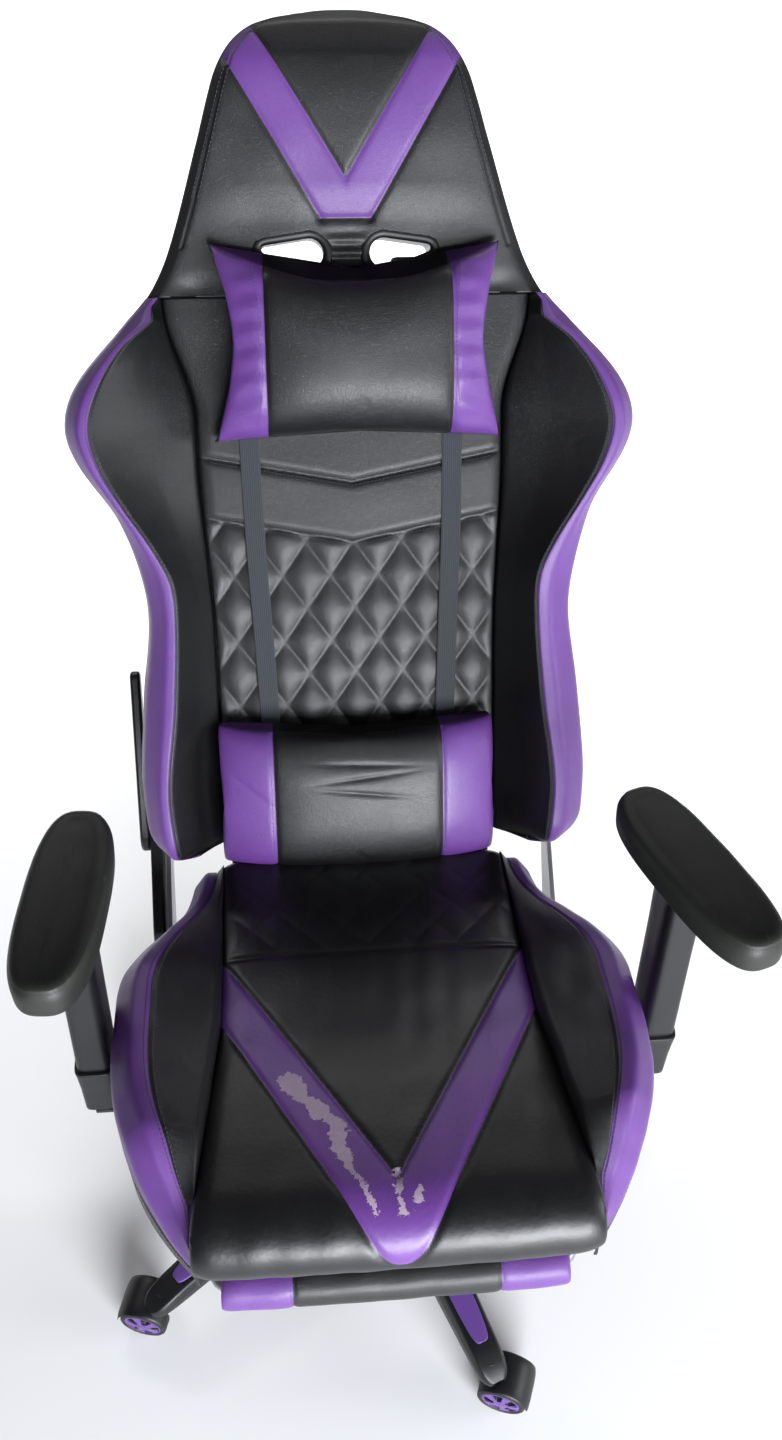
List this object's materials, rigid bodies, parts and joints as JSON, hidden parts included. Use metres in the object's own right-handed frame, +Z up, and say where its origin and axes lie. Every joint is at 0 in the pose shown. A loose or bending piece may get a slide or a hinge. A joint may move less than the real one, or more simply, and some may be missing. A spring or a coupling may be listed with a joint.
{
  "type": "gaming chair",
  "caption": "High-backed reclining gaming chair with quilted cushions, side wings, two pillows, swivelling arm pads and a slide-out footrest on a star base with twin-wheel casters.",
  "frame": {"origin": "centre of the footprint on the floor", "axes": "+Z up; the sitter faces -Y, so the sitter's left is +X"},
  "size_m": [0.6503, 0.9671, 1.0947],
  "materials": {
    "black_leather": "satin",
    "black_nylon": "matte",
    "purple_plastic": "satin",
    "caster_tread": "matte",
    "arm_pad_skin": "matte",
    "webbing": "matte",
    "satin_steel": "satin",
    "black_steel": "satin",
    "plywood": "matte"
  },
  "bodies": {
    "base": {"star_base": "black_nylon", "base_trim_1": "purple_plastic", "base_trim_2": "purple_plastic", "base_trim_3": "purple_plastic", "base_trim_4": "purple_plastic", "base_trim_5": "purple_plastic", "lift_cylinder": "black_steel", "lift_cover_lower": "black_nylon"},
    "lift_cover_middle": {"lift_cover_middle": "black_nylon"},
    "lift_column": {"lift_piston": "satin_steel", "lift_cover_upper": "black_nylon"},
    "mechanism": {"tilt_housing": "black_steel", "tilt_axle": "satin_steel"},
    "tension_knob": {"tension_knob": "black_nylon"},
    "lift_lever": {"lift_lever": "black_nylon"},
    "seat": {"seat_plate": "black_steel", "seat_board": "plywood", "seat_cushion": "black_leather", "seat_bolster_left": "black_leather", "seat_bolster_right": "black_leather", "recline_plate_left": "satin_steel", "recline_plate_right": "satin_steel", "recline_cover": "black_nylon", "arm_bracket_left": "black_steel", "arm_bracket_right": "black_steel", "arm_lower_sleeve_left": "black_nylon", "arm_lower_sleeve_right": "black_nylon", "footrest_guide_left": "black_nylon", "footrest_guide_right": "black_nylon"},
    "recline_lever": {"recline_lever": "black_nylon"},
    "back": {"back_frame": "black_steel", "back_cushion": "black_leather", "headrest_cushion": "black_leather", "back_rear_cover": "black_leather", "back_wing_left": "black_leather", "back_wing_right": "black_leather", "strap_bezel_left": "black_nylon", "strap_bezel_right": "black_nylon", "strap_left": "webbing", "strap_right": "webbing"},
    "head_pillow": {"head_pillow": "black_leather"},
    "lumbar_pillow": {"lumbar_pillow": "black_leather"},
    "footrest_frame": {"footrest_rail": "black_steel"},
    "footrest_pad": {"footrest_pad": "black_leather"},
    "arm_left": {"arm_upper_sleeve_left": "black_nylon"},
    "arm_pad_left": {"arm_pad_left": "arm_pad_skin"},
    "arm_button_left": {"arm_button_left": "black_nylon"},
    "arm_right": {"arm_upper_sleeve_right": "black_nylon"},
    "arm_pad_right": {"arm_pad_right": "arm_pad_skin"},
    "arm_button_right": {"arm_button_right": "black_nylon"},
    "caster_1": {"caster_hood_1": "black_nylon"},
    "caster_wheels_1": {"caster_wheels_1": "caster_tread"},
    "caster_2": {"caster_hood_2": "black_nylon"},
    "caster_wheels_2": {"caster_wheels_2": "caster_tread"},
    "caster_3": {"caster_hood_3": "black_nylon"},
    "caster_wheels_3": {"caster_wheels_3": "caster_tread"},
    "caster_4": {"caster_hood_4": "black_nylon"},
    "caster_wheels_4": {"caster_wheels_4": "caster_tread"},
    "caster_5": {"caster_hood_5": "black_nylon"},
    "caster_wheels_5": {"caster_wheels_5": "caster_tread"}
  },
  "joints": [
    {"name": "lift", "type": "slide", "parent": "base", "child": "lift_column", "axis": [0, 0, 1], "range_m": [0, 0.08]},
    {"name": "middle_cover_rise", "type": "slide", "parent": "base", "child": "lift_cover_middle", "axis": [0, 0, 1], "range_m": [0, 0.04]},
    {"name": "seat_swivel", "type": "hinge", "parent": "lift_column", "child": "mechanism", "pos_m": [-0.0099, -0.1612, 0.24], "axis": [0, 0, 1], "continuous": true},
    {"name": "tension_knob_turn", "type": "hinge", "parent": "mechanism", "child": "tension_knob", "pos_m": [-0.0099, -0.2232, 0.2], "axis": [0, 0, 1], "continuous": true},
    {"name": "lift_lever_pull", "type": "hinge", "parent": "mechanism", "child": "lift_lever", "pos_m": [-0.0619, -0.2132, 0.236], "axis": [0, 1, 0], "range_deg": [0, 6], "stiffness_Nm_per_rad": 0.8, "springref_deg": -11.46},
    {"name": "seat_tilt", "type": "hinge", "parent": "mechanism", "child": "seat", "pos_m": [-0.0099, -0.2012, 0.256], "axis": [-1, 0, 0], "range_deg": [0, 12], "stiffness_Nm_per_rad": 220, "springref_deg": -25.78},
    {"name": "back_recline", "type": "hinge", "parent": "seat", "child": "back", "pos_m": [-0.0099, 0.0608, 0.352], "axis": [-1, 0, 0], "range_deg": [-8, 45]},
    {"name": "recline_lever_pull", "type": "hinge", "parent": "seat", "child": "recline_lever", "pos_m": [-0.2509, 0.0608, 0.352], "axis": [-1, 0, 0], "range_deg": [0, 20], "stiffness_Nm_per_rad": 1.5, "springref_deg": -17.19},
    {"name": "head_pillow_slide", "type": "slide", "parent": "back", "child": "head_pillow", "axis": [0, 0.5, 0.866], "range_m": [-0.06, 0]},
    {"name": "lumbar_pillow_slide", "type": "slide", "parent": "back", "child": "lumbar_pillow", "axis": [0, 0.5, 0.866], "range_m": [0, 0.11]},
    {"name": "arm_height_left", "type": "slide", "parent": "seat", "child": "arm_left", "axis": [0, 0.1392, 0.9903], "range_m": [0, 0.07]},
    {"name": "arm_pad_turn_left", "type": "hinge", "parent": "arm_left", "child": "arm_pad_left", "pos_m": [0.2671, -0.19289, 0.57801], "axis": [0, 0.1392, 0.9903], "range_deg": [-45, 10]},
    {"name": "arm_button_press_left", "type": "slide", "parent": "arm_left", "child": "arm_button_left", "axis": [-1, 0, 0], "range_m": [0, 0.003], "stiffness_N_per_m": 300, "springref_m": -0.002},
    {"name": "arm_height_right", "type": "slide", "parent": "seat", "child": "arm_right", "axis": [0, 0.1392, 0.9903], "range_m": [0, 0.07]},
    {"name": "arm_pad_turn_right", "type": "hinge", "parent": "arm_right", "child": "arm_pad_right", "pos_m": [-0.2869, -0.19289, 0.57801], "axis": [0, 0.1392, 0.9903], "range_deg": [-24, 31]},
    {"name": "arm_button_press_right", "type": "slide", "parent": "arm_right", "child": "arm_button_right", "axis": [1, 0, 0], "range_m": [0, 0.003], "stiffness_N_per_m": 300, "springref_m": -0.002},
    {"name": "footrest_slide", "type": "slide", "parent": "seat", "child": "footrest_frame", "axis": [0, -0.9903, 0.1392], "range_m": [0, 0.28]},
    {"name": "footrest_flip", "type": "hinge", "parent": "footrest_frame", "child": "footrest_pad", "pos_m": [-0.0099, -0.43962, 0.30973], "axis": [-1, 0, 0], "range_deg": [0, 180]},
    {"name": "caster_swivel_1", "type": "hinge", "parent": "base", "child": "caster_1", "pos_m": [0.09586, -0.44407, 0.06], "axis": [0, 0, 1], "continuous": true},
    {"name": "caster_roll_1", "type": "hinge", "parent": "caster_1", "child": "caster_wheels_1", "pos_m": [0.11441, -0.45157, 0.026], "axis": [0.3746, 0.9272, 0], "continuous": true},
    {"name": "caster_swivel_2", "type": "hinge", "parent": "base", "child": "caster_2", "pos_m": [-0.24625, -0.3492, 0.06], "axis": [0, 0, 1], "continuous": true},
    {"name": "caster_roll_2", "type": "hinge", "parent": "caster_2", "child": "caster_wheels_2", "pos_m": [-0.26537, -0.34335, 0.026], "axis": [-0.2924, -0.9563, 0], "continuous": true},
    {"name": "caster_swivel_3", "type": "hinge", "parent": "base", "child": "caster_3", "pos_m": [-0.26173, 0.00549, 0.06], "axis": [0, 0, 1], "continuous": true},
    {"name": "caster_roll_3", "type": "hinge", "parent": "caster_3", "child": "caster_wheels_3", "pos_m": [-0.27905, 0.01549, 0.026], "axis": [-0.5, -0.866, 0], "continuous": true},
    {"name": "caster_swivel_4", "type": "hinge", "parent": "base", "child": "caster_4", "pos_m": [0.07081, 0.12982, 0.06], "axis": [0, 0, 1], "continuous": true},
    {"name": "caster_roll_4", "type": "hinge", "parent": "caster_4", "child": "caster_wheels_4", "pos_m": [0.08719, 0.14129, 0.026], "axis": [-0.5736, 0.8192, 0], "continuous": true},
    {"name": "caster_swivel_5", "type": "hinge", "parent": "base", "child": "caster_5", "pos_m": [0.29181, -0.14803, 0.06], "axis": [0, 0, 1], "continuous": true},
    {"name": "caster_roll_5", "type": "hinge", "parent": "caster_5", "child": "caster_wheels_5", "pos_m": [0.27201, -0.14524, 0.026], "axis": [-0.1392, -0.9903, 0], "continuous": true}
  ],
  "couplings": [
    {"joint": "middle_cover_rise", "follows": "lift", "ratio": 0.5}
  ]
}
